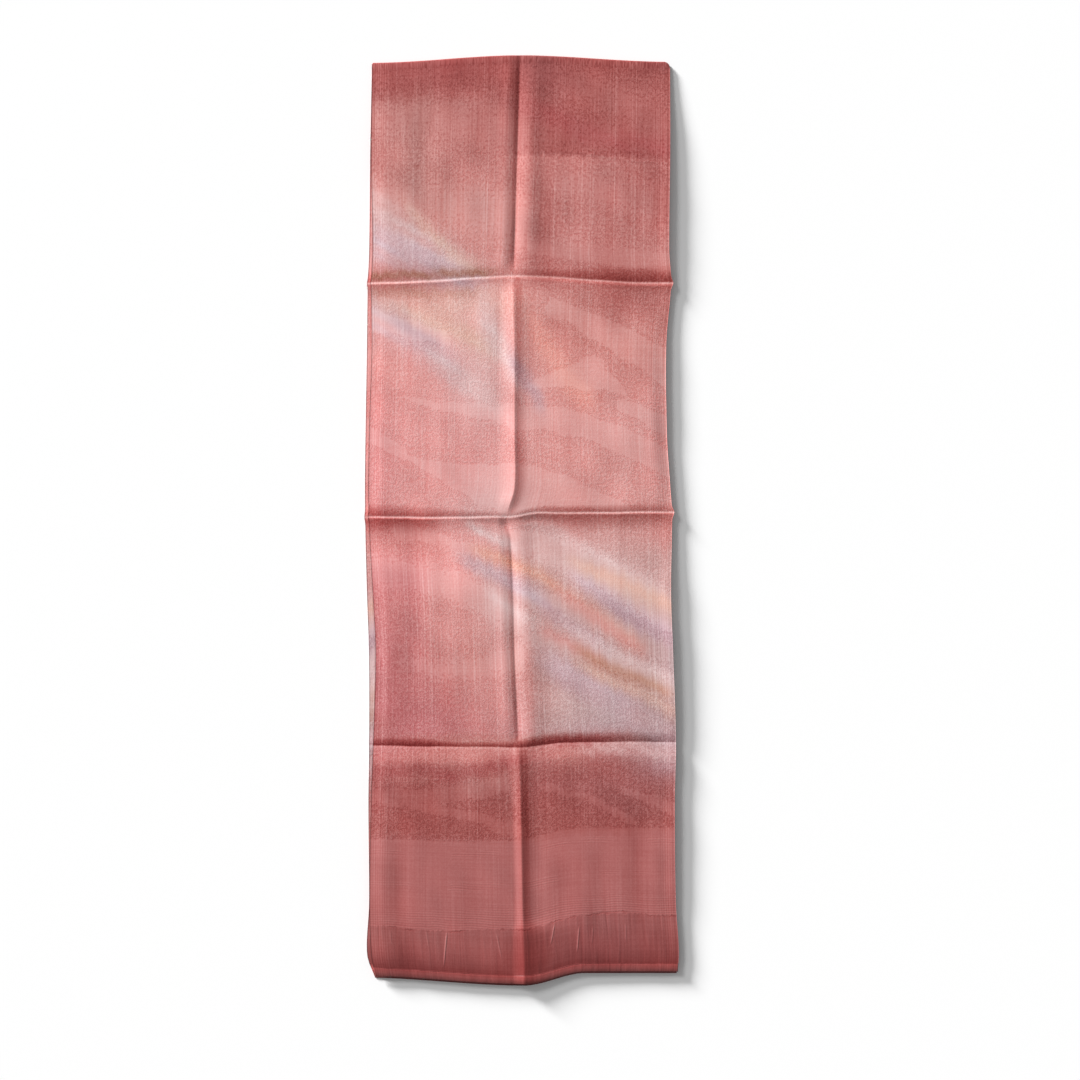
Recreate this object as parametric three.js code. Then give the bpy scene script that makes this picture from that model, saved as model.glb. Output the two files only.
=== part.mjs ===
// An obiage: a silk sash scarf with two hemmed ends, folded once across its length and laid flat
// with the fold at the top and both ends together at the bottom.
// Millimetres. X runs across the cloth, Y along it towards the fold, Z up from the table.
// The cloth was kept folded in eighths and in half, so each leaf has three crosswise creases
// and one lengthwise crease, and its eight panels billow a little between them.
import * as THREE from 'three';

// Driving sizes
const CLOTH = 1.0;                       // wall of the cloth
const GAP = 0.3;                         // clearance between pieces that touch
const HALF_WIDTH = 146;                  // crease to side edge, used to place the stations across
const PANEL = 222;                       // length of one panel, used to place the stations along
const FOLD_REACH = 7;                    // how far the bent stretch runs back from the fold
const HEM = { width: 8, wall: 1.5, crown: 0.25 };
const FRONT_SHORT = 3;                   // the front end stops this far before the back end
const CORNER = { left: 1.5, right: 6 };  // rounding of the fold's two corners
const REST_RISE = 0.35;                  // least lift of the front leaf off the back one
const UNDER_SHARE = 0.4;                 // share of a crease's rise that the back leaf follows
const UNDER_WIDTH = 9;                   // how far from a crease the back leaf follows it

// Crosswise lines, from the fold to the open end. y is the place along Y at the lengthwise
// crease; left and right are how far the line's two ends lie back towards the open end, and
// each reach is the share of the half width in which the line gets there.
const LINES = [
  { name: 'fold',          y:  452.9, left:  7.5, leftReach: 1.0, right:   6.5, rightReach: 1.0 },
  { name: 'first crease',  y:  233.2, left:  6.9, leftReach: 1.0, right:   6.9, rightReach: 1.0 },
  { name: 'middle crease', y:   -2.4, left:  0.0, leftReach: 1.0, right:  -4.5, rightReach: 0.2 },
  { name: 'last crease',   y: -225.2, left: -1.9, leftReach: 1.0, right:  -5.2, rightReach: 0.3 },
  { name: 'open end',      y: -452.9, left: -7.7, leftReach: 1.1, right: -11.9, rightReach: 0.4 },
];

// Sections across the cloth. at counts panels from the fold, so 1 is the first crease. left,
// crease and right are the front leaf's two edges and its lengthwise crease along X, and slip is
// how much further left the back leaf lies.
const SECTIONS = [
  { at: 0.00, left: -146.6, crease:  -1.0, right: 146.1, slip: 0.0 },
  { at: 0.40, left: -146.9, crease:  -3.5, right: 145.8, slip: 1.0 },
  { at: 0.85, left: -144.9, crease:  -6.5, right: 144.4, slip: 3.6 },
  { at: 1.00, left: -146.2, crease:  -7.3, right: 146.2, slip: 3.5 },
  { at: 1.27, left: -145.4, crease:  -6.5, right: 141.3, slip: 4.8 },
  { at: 1.67, left: -147.6, crease:  -6.5, right: 141.7, slip: 3.7 },
  { at: 2.00, left: -147.5, crease: -14.6, right: 146.3, slip: 3.6 },
  { at: 2.36, left: -143.0, crease:  -7.5, right: 145.0, slip: 5.9 },
  { at: 2.60, left: -140.4, crease:  -6.3, right: 146.7, slip: 6.5 },
  { at: 3.00, left: -142.4, crease:  -1.9, right: 149.3, slip: 3.9 },
  { at: 3.25, left: -144.1, crease:   0.0, right: 148.0, slip: 2.7 },
  { at: 3.68, left: -145.2, crease:   1.2, right: 148.6, slip: 0.5 },
  { at: 3.90, left: -143.1, crease:   1.8, right: 151.4, slip: 4.3 },
  { at: 4.00, left: -138.9, crease:   2.0, right: 150.3, slip: 0.7 },
];

// Profile of each crosswise crease: a dip before it, the pinched crest on it, a dip after it.
const CREASES = [
  { line: 1, before: 3.0, crest:  3.6, after: 1.8 },
  { line: 2, before: 2.6, crest:  3.8, after: 2.0 },
  { line: 3, before: 1.2, crest: -2.8, after: 0.0 },
];
const CREASE_SHAPE = { beforeAt: -5, beforeWidth: 6, crestAt: 0.6, crestWidth: 2.6, afterAt: 10,
  afterWidth: 7 };

// Panels from the fold down: rise is the lift at the panel's upper line, billow the further lift
// of its left and right halves, ridge the height (or depth) of the lengthwise crease in it.
const PANELS = [
  { rise: 1.6, billowLeft: 3.2, billowRight: 2.6, ridge: -2.8 },
  { rise: 3.6, billowLeft: 2.4, billowRight: 3.0, ridge:  2.6 },
  { rise: 3.6, billowLeft: 3.0, billowRight: 2.2, ridge: -2.8 },
  { rise: 3.4, billowLeft: 1.8, billowRight: 2.0, ridge:  2.4 },
];
const END_RISE = 1.2;                    // lift of the front leaf at its hem
const RIDGE_WIDTH = 8;                   // how far the lengthwise crease's slopes reach
const EDGE_LAY = 22;                     // strip along each side edge in which the cloth lies down

// Stations of the meshes, as distances from the creases
const ACROSS_FINE = [0, 2, 5, 10, 20, 40, 60, 80, 100, 120, 136, 143, HALF_WIDTH];
const ACROSS_PLAIN = [0, 5, 20, 40, 60, 80, 100, 120, 136, HALF_WIDTH];
const ALONG_FINE = { after: [0, 1.5, 5, 10, 22, 45, 80], before: [80, 45, 24, 12, 5, 1.8] };
const ALONG_PLAIN = { after: [0, 4, 12, 45], before: [80, 24, 10, 3] };
const BEND_STEPS = 8;

// ---- curves and surfaces -------------------------------------------------------------------

const clamp01 = (t) => Math.min(1, Math.max(0, t));
const smooth = (t) => t * t * (3 - 2 * t);
const bell = (d, width) => Math.exp(-((d / width) ** 2));
const lerp = (a, b, t) => a + (b - a) * t;

// One column of SECTIONS as a smooth curve (a cubic between rows, with the slope of their
// neighbours at each).
function section(column, at) {
  const last = SECTIONS.length - 1;
  let i = 0;
  while (i < last - 1 && at > SECTIONS[i + 1].at) i += 1;
  const slope = (k) => {
    const a = SECTIONS[Math.max(0, k - 1)];
    const b = SECTIONS[Math.min(last, k + 1)];
    return (b[column] - a[column]) / (b.at - a.at);
  };
  const [a, b] = [SECTIONS[i], SECTIONS[i + 1]];
  const span = b.at - a.at;
  const t = clamp01((at - a.at) / span);
  const bend = t * (1 - t) * span * ((1 - t) * slope(i) - t * slope(i + 1));
  const chord = smooth(t);
  return lerp(a[column], b[column], chord) + bend;
}

// Y of crosswise line k at p, which runs from -1 at the left edge through 0 on the lengthwise
// crease to 1 at the right edge.
function lineY(k, p) {
  const line = LINES[k];
  const [drop, reach] = p < 0 ? [line.left, line.leftReach] : [line.right, line.rightReach];
  return line.y - drop * smooth(clamp01(Math.abs(p) / reach));
}

// How far the fold's outline is rounded back at its corners.
function cornerDrop(p) {
  const radius = p < 0 ? CORNER.left : CORNER.right;
  const inCorner = clamp01(1 - (1 - Math.abs(p)) * HALF_WIDTH / radius);
  return radius * (1 - Math.sqrt(1 - inCorner ** 2));
}

// Place on the plan of the cloth point (p, q): q counts panels from the fold to the open end.
function plan(p, q, slipped) {
  const k = Math.min(3, Math.floor(q));
  const side = p < 0 ? section('left', q) : section('right', q);
  const x = lerp(section('crease', q), side, Math.abs(p)) - (slipped ? section('slip', q) : 0);
  const inBend = clamp01(1 - q * PANEL / FOLD_REACH);
  const y = lerp(lineY(k, p), lineY(k + 1, p), q - k) - cornerDrop(p) * inBend;
  return { x, y };
}

// Lift of the front leaf off the back one, from billows, crosswise creases, the lengthwise
// crease and the lie of the side edges.
function lift(p, q) {
  const k = Math.min(3, Math.floor(q));
  const inPanel = q - k;
  const panel = PANELS[k];
  const next = k < 3 ? PANELS[k + 1].rise : END_RISE;
  const arch = Math.sin(Math.PI * inPanel) ** 0.7;
  const side = p < 0 ? panel.billowLeft : panel.billowRight;
  const half = 0.45 + 0.55 * Math.sin(Math.PI * clamp01(Math.abs(p)));
  let height = lerp(panel.rise, next, smooth(inPanel)) + side * arch * half;
  const offCrease = Math.abs(p) * HALF_WIDTH;
  height += panel.ridge * arch * Math.exp(-offCrease / RIDGE_WIDTH);
  for (const crease of CREASES) {
    const d = (q - crease.line) * PANEL;
    height -= crease.before * bell(d - CREASE_SHAPE.beforeAt, CREASE_SHAPE.beforeWidth);
    height += crease.crest * bell(d - CREASE_SHAPE.crestAt, CREASE_SHAPE.crestWidth);
    height -= crease.after * bell(d - CREASE_SHAPE.afterAt, CREASE_SHAPE.afterWidth);
  }
  const inside = clamp01((1 - Math.abs(p)) * HALF_WIDTH / EDGE_LAY);
  const overHem = (HEM.wall + HEM.crown - CLOTH) * smooth(clamp01((q - 3.8) / 0.12));
  return Math.max(REST_RISE, height * (0.25 + 0.75 * smooth(inside))) + overHem;
}

// Height of the back leaf's underside: flat on the table, rising a little under the creases.
function underRise(p, q) {
  const nearCross = Math.max(...CREASES.map((c) => bell((q - c.line) * PANEL, UNDER_WIDTH)));
  const nearLong = bell(Math.abs(p) * HALF_WIDTH, UNDER_WIDTH) * Math.sin(Math.PI * (q % 1)) ** 2;
  const rise = UNDER_SHARE * (lift(p, q) - REST_RISE) * Math.max(nearCross, nearLong);
  return rise < 0.02 ? 0 : rise;
}

// Underside of the front leaf, which lies on the back one.
const frontUnder = (p, q) => CLOTH + GAP + lift(p, q);

// ---- meshes --------------------------------------------------------------------------------

// A closed wall between two grids of points, over and under, each [row][column].
function wall(over, under) {
  const rows = over.length;
  const columns = over[0].length;
  const points = [...over.flat(), ...under.flat()];
  const top = (i, j) => i * columns + j;
  const low = (i, j) => rows * columns + i * columns + j;
  const faces = [];
  const quad = (a, b, c, d) => faces.push(a, b, c, a, c, d);
  for (let i = 0; i + 1 < rows; i += 1) {
    for (let j = 0; j + 1 < columns; j += 1) {
      quad(top(i, j), top(i + 1, j), top(i + 1, j + 1), top(i, j + 1));
      quad(low(i, j), low(i, j + 1), low(i + 1, j + 1), low(i + 1, j));
    }
    quad(top(i, 0), low(i, 0), low(i + 1, 0), top(i + 1, 0));
    const e = columns - 1;
    quad(top(i, e), top(i + 1, e), low(i + 1, e), low(i, e));
  }
  for (let j = 0; j + 1 < columns; j += 1) {
    quad(top(0, j), top(0, j + 1), low(0, j + 1), low(0, j));
    const e = rows - 1;
    quad(top(e, j), low(e, j), low(e, j + 1), top(e, j + 1));
  }
  const geometry = new THREE.BufferGeometry();
  geometry.setAttribute('position', new THREE.Float32BufferAttribute(points.flat(), 3));
  geometry.setIndex(faces);
  geometry.computeVertexNormals();
  return geometry;
}

// Stations across, from the left edge to the right one, as values of p.
function acrossStations(distances) {
  const half = distances.map((d) => d / HALF_WIDTH);
  return [...half.slice(1).reverse().map((p) => -p), ...half];
}

// Stations along, from the fold to the open end, as values of q.
function alongStations({ after, before }, start, end) {
  const stations = [start];
  for (let k = 0; k < 4; k += 1) {
    stations.push(...after.map((d) => k + d / PANEL), ...before.map((d) => k + 1 - d / PANEL));
  }
  const spacing = 1.2 / PANEL;
  return [...stations.filter((q) => q === start || (q > start + spacing && q < end - spacing)), end];
}

// One leaf, with its underside given by low(p, q) and its wall above it.
function leaf(across, along, slipped, low) {
  const grid = (z) => along.map((q) => across.map((p) => {
    const { x, y } = plan(p, q, slipped);
    return [x, y, z(p, q)];
  }));
  return wall(grid((p, q) => low(p, q) + CLOTH), grid(low));
}

// q at a distance back from the fold, or from the open end.
const fromFold = (distance) => distance / PANEL;
const fromEnd = (distance) => 4 - distance / PANEL;

// The bent stretch: from the front leaf over the fold and under to the back leaf, half an
// ellipse with a flat run behind each of its ends.
function bendGeometry() {
  const q = fromFold(FOLD_REACH);
  const ring = (p, inset) => {
    const { x, y } = plan(p, q, false);
    const crown = frontUnder(p, q) + CLOTH;
    const middle = crown / 2;
    const edge = plan(p, 0, false).y;
    const rise = middle - inset;
    const depth = Math.min(middle, edge - y) - inset;
    const centre = edge - Math.min(middle, edge - y);
    const turn = Array.from({ length: BEND_STEPS + 1 }, (_, i) => {
      const angle = Math.PI * (0.5 - i / BEND_STEPS);
      return [x, centre + depth * Math.cos(angle), middle + rise * Math.sin(angle)];
    });
    return [[x, y, middle + rise], ...turn, [x, y, middle - rise]];
  };
  const across = acrossStations(ACROSS_FINE);
  return wall(across.map((p) => ring(p, 0)), across.map((p) => ring(p, CLOTH)));
}

// A hem: the cloth turned up on itself, a crowned band along an open end. start and end are
// distances back from the open end.
function hemGeometry(start, end, slipped, low) {
  const stations = [start, lerp(start, end, 0.3), lerp(start, end, 0.7), end];
  const crowns = [0, HEM.crown, HEM.crown, 0];
  const grid = (z) => stations.map((distance, i) => acrossStations(ACROSS_FINE).map((p) => {
    const q = fromEnd(distance);
    const { x, y } = plan(p, q, slipped);
    return [x, y, low(p, q) + z(i)];
  }));
  return wall(grid((i) => HEM.wall + crowns[i]), grid(() => 0));
}

// ---- the object ----------------------------------------------------------------------------

const obiage = new THREE.Group();
obiage.name = 'obiage';

function add(name, geometry, color, roughness) {
  const material = new THREE.MeshStandardMaterial({ color, roughness, metalness: 0 });
  const mesh = new THREE.Mesh(geometry, material);
  mesh.name = name;
  obiage.add(mesh);
}

const leafStart = fromFold(FOLD_REACH + GAP);
const frontHemEnd = FRONT_SHORT;
const frontHemStart = frontHemEnd + HEM.width;

add('front_leaf', leaf(acrossStations(ACROSS_FINE),
  alongStations(ALONG_FINE, leafStart, fromEnd(frontHemStart + GAP)), false, frontUnder),
'#cf7f7d', 0.55);
add('top_fold', bendGeometry(), '#b8605e', 0.55);
add('back_leaf', leaf(acrossStations(ACROSS_PLAIN),
  alongStations(ALONG_PLAIN, leafStart, fromEnd(HEM.width + GAP)), true, underRise),
'#cf8480', 0.55);
add('front_hem', hemGeometry(frontHemStart, frontHemEnd, false, frontUnder), '#a45352', 0.6);
add('back_hem', hemGeometry(HEM.width, 0, true, () => 0), '#a04f4e', 0.6);

export default obiage;
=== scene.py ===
"""An obiage, a figured silk crepe sash scarf, folded once across its length and laid flat.

The cloth is one sheet. A point of it has cut coordinates in millimetres: u across from the lengthwise
crease, v along from the fold. Shapes use p and q instead: p is u in half widths, from -1 at the left
edge to 1 at the right, and q is v in panels, from 0 at the fold to 4 at the open end. The tables below
are in those coordinates, and the functions turn them into the place, lift, dye and woven figure.
"""
import math

import bpy
import numpy as np
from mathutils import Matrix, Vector


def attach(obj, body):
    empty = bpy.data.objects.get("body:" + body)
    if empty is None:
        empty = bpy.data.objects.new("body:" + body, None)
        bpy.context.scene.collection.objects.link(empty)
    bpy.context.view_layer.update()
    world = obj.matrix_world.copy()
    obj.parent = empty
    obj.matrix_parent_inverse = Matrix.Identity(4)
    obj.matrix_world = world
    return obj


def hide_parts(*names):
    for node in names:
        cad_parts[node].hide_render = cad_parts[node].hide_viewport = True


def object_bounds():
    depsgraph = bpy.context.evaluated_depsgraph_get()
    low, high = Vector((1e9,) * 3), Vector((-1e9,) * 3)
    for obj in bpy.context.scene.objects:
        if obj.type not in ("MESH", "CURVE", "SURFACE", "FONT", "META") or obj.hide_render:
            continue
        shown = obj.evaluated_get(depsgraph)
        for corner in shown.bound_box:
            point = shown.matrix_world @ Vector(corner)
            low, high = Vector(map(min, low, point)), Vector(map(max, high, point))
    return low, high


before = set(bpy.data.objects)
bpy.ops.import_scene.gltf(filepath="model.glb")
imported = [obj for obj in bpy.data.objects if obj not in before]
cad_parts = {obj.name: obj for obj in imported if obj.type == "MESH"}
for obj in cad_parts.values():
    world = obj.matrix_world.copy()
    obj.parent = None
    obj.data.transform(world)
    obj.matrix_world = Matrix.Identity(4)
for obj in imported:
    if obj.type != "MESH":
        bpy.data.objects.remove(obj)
cad_low, cad_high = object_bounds()

# ---- driving sizes, in millimetres ----------------------------------------------------------

MM = 0.001
LENGTH = (cad_high.y - cad_low.y) / MM      # fold to open end
PANEL = LENGTH / 4                          # from one crosswise crease to the next
HALF = 148.0                                # lengthwise crease to side edge, in the cut
SILK = 0.5                                  # wall of the cloth
LAY = 0.15                                  # air between the two leaves where they touch
BEND = 7.0                                  # how far the bent stretch runs back from the fold
HEM_WIDTH = 8.0                             # cloth turned up at each end
HEM_WALL = 0.9                              # thickness of a turned-up hem
HEM_SINK = 0.68                             # front hem's underside, below the leaf's upper face
FRONT_SHORT = 1.8                           # the front end stops this far before the back end
HEM_LINE = LENGTH - FRONT_SHORT - HEM_WIDTH  # where the front hem begins, along the cut
CLIMB_AT, CLIMB_OVER = 3.82, 0.1            # panels at which the front leaf climbs the back hem
CORNER_LEFT, CORNER_RIGHT = 1.5, 6.0        # rounding of the fold's two corners
NIB_LEFT, NIB_RIGHT = 0.8, 2.2              # how far the sides jut out at the first two creases
NIB_HALF = 4.5                              # half length of such a nib
EDGE_STRIP = 16.0                           # strip along each side edge in which the cloth lies down
FIGURE_REACH = 8.0                          # depth inside the satin is told up to here
BORDER_REACH = (-90.0, 40.0)                # distance past the border's edge is told between these
HEM_BORDER = 16.0                           # a hem is woven as the border is, this far past its edge


def table(columns, *rows):
    """Rows of numbers as a dict of named columns."""
    return dict(zip(columns.split(), np.array(rows, float).T))


# Crosswise lines, from the fold to the open end: y at the lengthwise crease, how far the left
# and right ends lie back towards the open end, and the share of the half width for that.
LINES = table(
    "y left left_reach right right_reach",
    (452.9, 7.5, 1.0, 6.5, 1.0),
    (233.2, 6.9, 1.0, 6.9, 1.0),
    (-2.4, 0.0, 1.0, -4.5, 0.2),
    (-225.2, -1.9, 1.0, -5.2, 0.3),
    (-452.9, -7.7, 1.1, -11.9, 0.4),
)

# Sections across the cloth: at counts panels from the fold; left, crease and right are places
# along X; slip is how much further left the back leaf lies.
SECTIONS = table(
    "at left crease right slip",
    (0.00, -146.6, -1.0, 146.1, 0.0),
    (0.40, -146.9, -3.5, 145.8, 1.0),
    (0.85, -144.9, -6.5, 144.4, 3.6),
    (1.00, -146.2, -7.3, 146.2, 3.5),
    (1.27, -145.4, -6.5, 141.3, 4.8),
    (1.67, -147.6, -6.5, 141.7, 3.7),
    (1.88, -148.0, -6.4, 144.6, 3.6),
    (2.00, -147.5, -13.6, 146.3, 3.6),
    (2.10, -146.6, -10.2, 146.1, 4.1),
    (2.36, -143.0, -7.5, 145.0, 5.9),
    (2.60, -140.4, -6.3, 146.7, 6.5),
    (3.00, -142.4, -1.9, 149.3, 3.9),
    (3.25, -144.1, 0.0, 148.0, 2.7),
    (3.68, -145.2, 1.7, 148.6, 0.5),
    (3.90, -143.1, 3.6, 151.4, 4.3),
    (4.00, -138.9, 3.8, 150.3, 0.7),
)

# Lift of the front leaf along its length, with the further billow of its left and right halves
# and the extra height of its left and right edges.
BILLOWS = table(
    "at rise left right left_edge right_edge",
    (0.00, 1.4, 0.0, 0.0, 0.0, 0.0),
    (0.45, 4.0, 1.6, 1.4, -0.3, 1.9),
    (0.94, 4.2, 0.8, 0.6, -0.1, 1.9),
    (1.06, 4.2, 0.8, 0.8, -0.1, 0.9),
    (1.50, 4.9, 1.6, 2.0, -0.4, -0.4),
    (1.94, 4.9, 0.8, 1.0, -0.5, -0.2),
    (2.06, 4.6, 0.8, 0.8, -0.5, 1.0),
    (2.50, 4.4, 1.8, 1.6, -0.5, 2.4),
    (2.94, 4.4, 0.8, 0.8, -0.3, 2.2),
    (3.06, 4.1, 0.6, 0.6, -0.2, 1.6),
    (3.50, 3.9, 1.2, 1.4, -0.2, 2.0),
    (3.90, 3.2, 0.6, 0.6, 0.0, 0.8),
    (4.00, 2.9, 0.2, 0.2, 0.0, 0.2),
)

# The lengthwise crease: height is a ridge, or a valley if negative; left and right are how far
# its two slopes reach; roll is the soft swell before it, and shoulder the one after it, which is
# a hollow if negative and has its middle at the last column.
SPINE = table(
    "at height left right roll shoulder middle",
    (0.00, -0.6, 3.5, 5.0, 0.1, 0.3, 13),
    (0.12, -1.0, 3.0, 5.0, 0.6, 0.9, 13),
    (0.40, -1.1, 3.3, 4.5, 0.4, 1.1, 13),
    (0.60, -1.0, 3.2, 4.8, 0.4, 1.4, 13),
    (0.92, -0.9, 3.2, 4.5, 0.5, 0.8, 13),
    (1.02, 0.5, 12.0, 11.0, 0.0, 0.1, 13),
    (1.12, 2.4, 14.0, 17.0, 0.0, -0.1, 13),
    (1.45, 2.2, 16.0, 9.5, 0.0, -0.2, 13),
    (1.60, 2.1, 16.0, 7.0, 0.0, -0.2, 13),
    (1.92, 2.0, 15.0, 7.0, 0.0, 0.0, 13),
    (2.00, -0.1, 8.0, 6.0, 0.0, 0.4, 11),
    (2.10, -0.6, 2.0, 5.0, 0.45, 1.1, 9),
    (2.40, -0.65, 2.2, 7.0, 0.45, 1.2, 12),
    (2.70, -0.95, 3.0, 8.0, 0.40, 1.1, 13),
    (2.94, -1.0, 4.0, 6.5, 0.2, 1.0, 13),
    (3.02, 0.8, 12.0, 7.0, 0.0, -0.2, 13),
    (3.20, 1.8, 8.5, 8.0, 0.0, -0.4, 15),
    (3.72, 1.7, 7.5, 8.0, 0.0, -0.3, 15),
    (3.79, 2.8, 10.0, 18.0, 0.0, 0.0, 15),
    (4.00, 3.0, 11.0, 22.0, 0.0, 0.0, 15),
)

# The crosswise creases, left to right: the fall before the crease and how far back it starts, the
# short rise on the crease and how far it runs, what follows, a further fall for the first two and
# a swell for the last, with its width; and the painted shade, as fuller dye, before and after it.
CREASE_AT = (1, 2, 3)
CREASE_COLUMNS = "p before reach crest run after wide deep_before deep_after"
CREASE_SHAPES = (
    table(
        CREASE_COLUMNS,
        (-1.0, 1.25, 23, 0.48, 3.0, 0.95, 13, 0.6, 0.6),
        (-0.6, 1.10, 22, 0.45, 3.2, 0.75, 12, 0.4, 0.5),
        (-0.3, 0.90, 17, 0.36, 3.2, 0.45, 11, 0.5, 0.5),
        (0.0, 0.45, 9, 0.40, 4.5, 0.10, 8, 0.4, 0.3),
        (0.25, 0.50, 9, 0.65, 6.0, 0.00, 8, 0.9, 0.3),
        (0.6, 1.05, 15, 0.62, 5.0, 0.10, 9, 1.3, 0.4),
        (1.0, 1.40, 19, 0.62, 4.6, 0.60, 14, 1.2, 0.5),
    ),
    table(
        CREASE_COLUMNS,
        (-1.0, 1.55, 13, 0.36, 3.0, 1.70, 18, 1.3, 1.2),
        (-0.6, 1.20, 11, 0.34, 3.4, 1.65, 17, 1.1, 1.1),
        (-0.45, 1.00, 9, 0.33, 3.3, 1.10, 16, 1.3, 0.5),
        (-0.2, 0.60, 6, 0.32, 3.2, 0.95, 15, 0.8, 0.5),
        (0.0, 0.35, 5, 0.20, 3.0, 1.05, 13, 0.6, 0.6),
        (0.25, 0.65, 7, 0.20, 2.6, 1.75, 20, 1.0, 0.9),
        (0.6, 0.80, 8, 0.32, 3.0, 1.65, 19, 1.2, 1.1),
        (1.0, 0.70, 9, 0.42, 3.4, 1.30, 17, 1.0, 1.1),
    ),
    table(
        CREASE_COLUMNS,
        (-1.0, 0.60, 8, 0.10, 3.0, 1.15, 18, 1.6, 0.0),
        (-0.7, 0.68, 9, 0.08, 3.0, 1.10, 18, 1.7, 0.0),
        (-0.45, 0.40, 5, 0.06, 3.0, 1.00, 18, 1.6, 0.0),
        (-0.1, 0.45, 6, 0.00, 3.0, 0.80, 16, 1.6, 0.0),
        (0.2, 0.75, 11, 0.00, 3.0, 0.60, 15, 1.7, 0.0),
        (0.6, 0.70, 10, 0.03, 3.0, 0.55, 15, 1.2, 0.0),
        (1.0, 0.80, 11, 0.03, 3.0, 0.60, 15, 0.8, 0.0),
    ),
)

# Soft troughs and ridges inside the panels: centre, half lengths across and along, height, and
# slant, which is across per along for the lengthwise ones and along per across for the others.
LENGTHWISE_FOLDS = table(
    "u v wide long height slant",
    (-97, 92, 12, 60, -0.28, 0.00),
    (-76, 100, 12, 55, 0.16, 0.00),
    (-40, 70, 6, 45, -0.12, 0.00),
    (-106, 560, 11, 90, -0.32, -0.02),
    (-86, 560, 10, 80, 0.22, -0.02),
    (-136, 815, 8, 60, 0.30, 0.00),
    (-119, 815, 8, 60, -0.40, 0.00),
    (-103, 812, 8, 55, 0.25, 0.00),
    (-52, 806, 12, 40, -0.18, 0.00),
    (37, 815, 10, 50, -0.20, 0.00),
    (60, 812, 9, 45, 0.15, 0.00),
    (78, 815, 9, 50, -0.15, 0.02),
    (112, 815, 9, 55, -0.40, 0.00),
    (130, 812, 7, 55, 0.30, 0.00),
    (-112, 885, 11, 22, -0.55, 0.00),
)
CROSSWISE_FOLDS = table(
    "u v wide long height slant",
    (86, 101, 62, 2.0, 0.10, 0.02),
    (-112, 703, 34, 7, -0.12, 0.00),
    (-48, 701, 34, 7, -0.12, -0.05),
    (80, 714, 70, 12, -0.20, 0.00),
    (-60, 42, 50, 6, 0.15, 0.03),
    (-3, 461, 5, 5, -0.60, 0.00),
    (22, 459, 26, 4, -0.35, 0.05),
    (-30, 458, 20, 3, -0.20, 0.00),
)

# ---- curves and fields ----------------------------------------------------------------------


def smooth(t):
    """The cubic ease 3t^2 - 2t^3 of t, held between 0 and 1."""
    t = np.clip(t, 0, 1)
    return t * t * (3 - 2 * t)


def bell(d, width):
    """A round hump: e to the minus (distance over width) squared."""
    return np.exp(-((d / width) ** 2))


def lerp(a, b, t):
    """The straight mix from a to b."""
    return a + (b - a) * t


def along_table(rows, column, at, key="at"):
    """A column as a smooth curve: a cubic between rows, each with the slope of its neighbours."""
    x, y = rows[key], rows[column]
    slope = np.gradient(y) / np.gradient(x)
    slope[1:-1] = (y[2:] - y[:-2]) / (x[2:] - x[:-2])
    i = np.clip(np.searchsorted(x, at, side="right") - 1, 0, len(x) - 2)
    span = x[i + 1] - x[i]
    t = np.clip((at - x[i]) / span, 0, 1)
    bend = t * (1 - t) * span * ((1 - t) * slope[i] - t * slope[i + 1])
    return lerp(y[i], y[i + 1], smooth(t)) + bend


def by_side(rows, p, q, left="left", right="right"):
    """One column of a table on the left of the lengthwise crease and another on its right."""
    return np.where(p < 0, along_table(rows, left, q), along_table(rows, right, q))


def waves(u, v, seed, count, length_u, length_v):
    """A calm random field, mostly between -1 and 1: seeded sines with wave lengths near the two
    given, added up, over the root of their count."""
    draw = np.random.default_rng(seed)
    total = np.zeros(np.broadcast(u, v).shape)
    for _ in range(count):
        reach_u, reach_v = draw.uniform(0.6, 1.6, 2)
        turn = draw.choice((-1, 1))
        phase = draw.uniform(0, 2 * math.pi)
        turns = u / (length_u * reach_u) + turn * v / (length_v * reach_v)
        total += np.sin(2 * math.pi * turns + phase)
    return total / math.sqrt(count)


def line_y(k, p):
    """Y of crosswise line k at p: the line's own y, less its end's drop eased in over its reach."""
    drop = np.where(p < 0, LINES["left"][k], LINES["right"][k])
    reach = np.where(p < 0, LINES["left_reach"][k], LINES["right_reach"][k])
    return LINES["y"][k] - drop * smooth(np.abs(p) / reach)


def corner_drop(p):
    """How far the fold's outline is rounded back at its corners: a quarter circle."""
    radius = np.where(p < 0, CORNER_LEFT, CORNER_RIGHT)
    inside = np.clip(1 - (1 - np.abs(p)) * HALF / radius, 0, 1)
    return radius * (1 - np.sqrt(1 - inside**2))


def plan(p, q, slipped):
    """X and Y of cloth point (p, q): straight mixes between the side edges and the lengthwise
    crease, and between the crosswise lines before and after; round nibs on the sides at the first
    two creases; and the corners' drop, eased out over the bend."""
    k = np.clip(np.floor(q).astype(int), 0, 3)
    x = lerp(along_table(SECTIONS, "crease", q), by_side(SECTIONS, p, q), np.abs(p))
    nib = sum(bell((q - at) * PANEL, NIB_HALF) for at in CREASE_AT[:2])
    x = x + np.sign(p) * np.where(p < 0, NIB_LEFT, NIB_RIGHT) * nib * smooth((np.abs(p) - 0.93) / 0.07)
    if slipped:
        x = x - along_table(SECTIONS, "slip", q)
    y = lerp(line_y(k, p), line_y(k + 1, p), q - k)
    in_bend = np.clip(1 - q * PANEL / BEND, 0, 1)
    return x, y - corner_drop(p) * in_bend


def past_crease(u, v, at):
    """How far (u, v) is past crosswise crease number at, which wavers by two small sines."""
    return v - at * PANEL + 0.4 * np.sin(u / 23.0 + at) + 0.12 * np.sin(u / 7.3 + 2 * at)


def crease_columns(p, rows, names="before reach crest run after wide"):
    """Columns of a crease's table at p."""
    return [along_table(rows, column, p, "p") for column in names.split()]


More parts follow.
